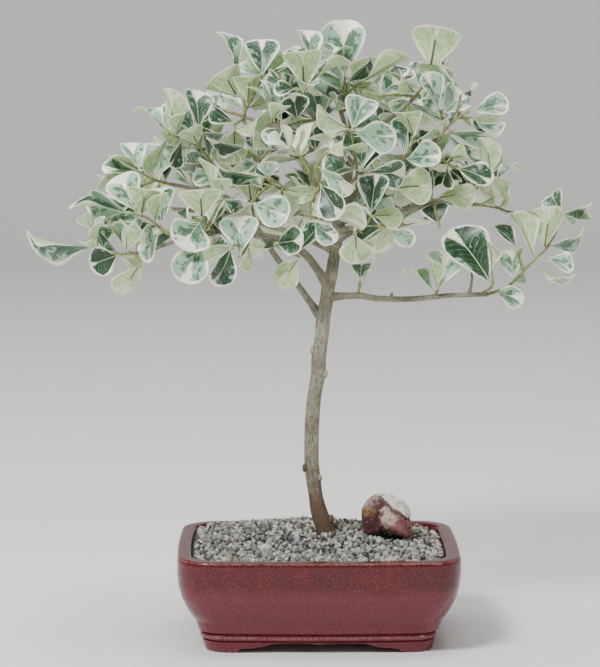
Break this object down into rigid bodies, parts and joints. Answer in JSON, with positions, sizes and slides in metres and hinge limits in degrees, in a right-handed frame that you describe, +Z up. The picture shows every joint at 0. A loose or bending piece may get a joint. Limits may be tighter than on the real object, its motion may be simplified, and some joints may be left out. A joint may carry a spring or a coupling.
{
  "type": "variegated triangle fig bonsai",
  "caption": "Small fig tree with cream-edged triangular leaves on a slender curved trunk, in a glazed rectangular pot dressed with grit and a stone.",
  "frame": {"origin": "on the surface that the pot stands on, under the middle of the whole tree's box", "axes": "+Z up; +X along the pot's long side, to the right seen from the front; +Y from the front to the back"},
  "size_m": [0.5134, 0.3282, 0.5606],
  "materials": {
    "glaze": "gloss",
    "screen": "matte",
    "soil": "matte",
    "grit": "matte",
    "stone": "matte",
    "bark": "matte",
    "leaf": "satin",
    "young_leaf": "satin"
  },
  "bodies": {
    "root": {"pot": "glaze", "drain_screen_left": "screen", "drain_screen_right": "screen", "soil": "soil", "grit": "grit", "stone": "stone", "trunk": "bark", "spray_back_high_left": "leaf", "spray_back_high_right": "leaf", "spray_back_high_tip": "leaf", "spray_back_left_inner": "leaf", "spray_back_left_low": "leaf", "spray_back_left_mid": "leaf", "spray_back_left_tip": "leaf", "spray_back_low_left": "leaf", "spray_back_low_right": "leaf", "spray_back_low_tip": "leaf", "spray_back_right_low": "leaf", "spray_back_right_mid": "leaf", "spray_back_right_tip": "leaf", "spray_back_top": "leaf", "spray_back_top_right": "leaf", "spray_back_upper_left_mid": "leaf", "spray_back_upper_left_tip": "leaf", "spray_back_upper_right_mid": "leaf", "spray_back_upper_right_tip": "leaf", "spray_centre_front": "leaf", "spray_centre_left": "leaf", "spray_centre_left_low": "leaf", "spray_crown": "leaf", "spray_crown_left": "leaf", "spray_crown_left_low": "leaf", "spray_leader_front": "leaf", "spray_left_edge": "leaf", "spray_left_front": "leaf", "spray_left_upper": "leaf", "spray_low_centre": "leaf", "spray_low_centre_left": "leaf", "spray_low_left_tip": "leaf", "spray_low_right_big": "leaf", "spray_low_right_first": "leaf", "spray_low_right_shoot": "leaf", "spray_low_right_tip": "leaf", "spray_right_front": "leaf", "spray_right_mid_side": "leaf", "spray_right_mid_tip": "leaf", "spray_right_upper": "leaf", "spray_top_right": "leaf", "spray_upper_left_edge": "leaf", "spray_upper_left_top": "leaf", "spray_upper_right_end": "leaf", "spray_upper_right_mid": "leaf", "spray_young_shoot": "young_leaf"}
  },
  "joints": []
}
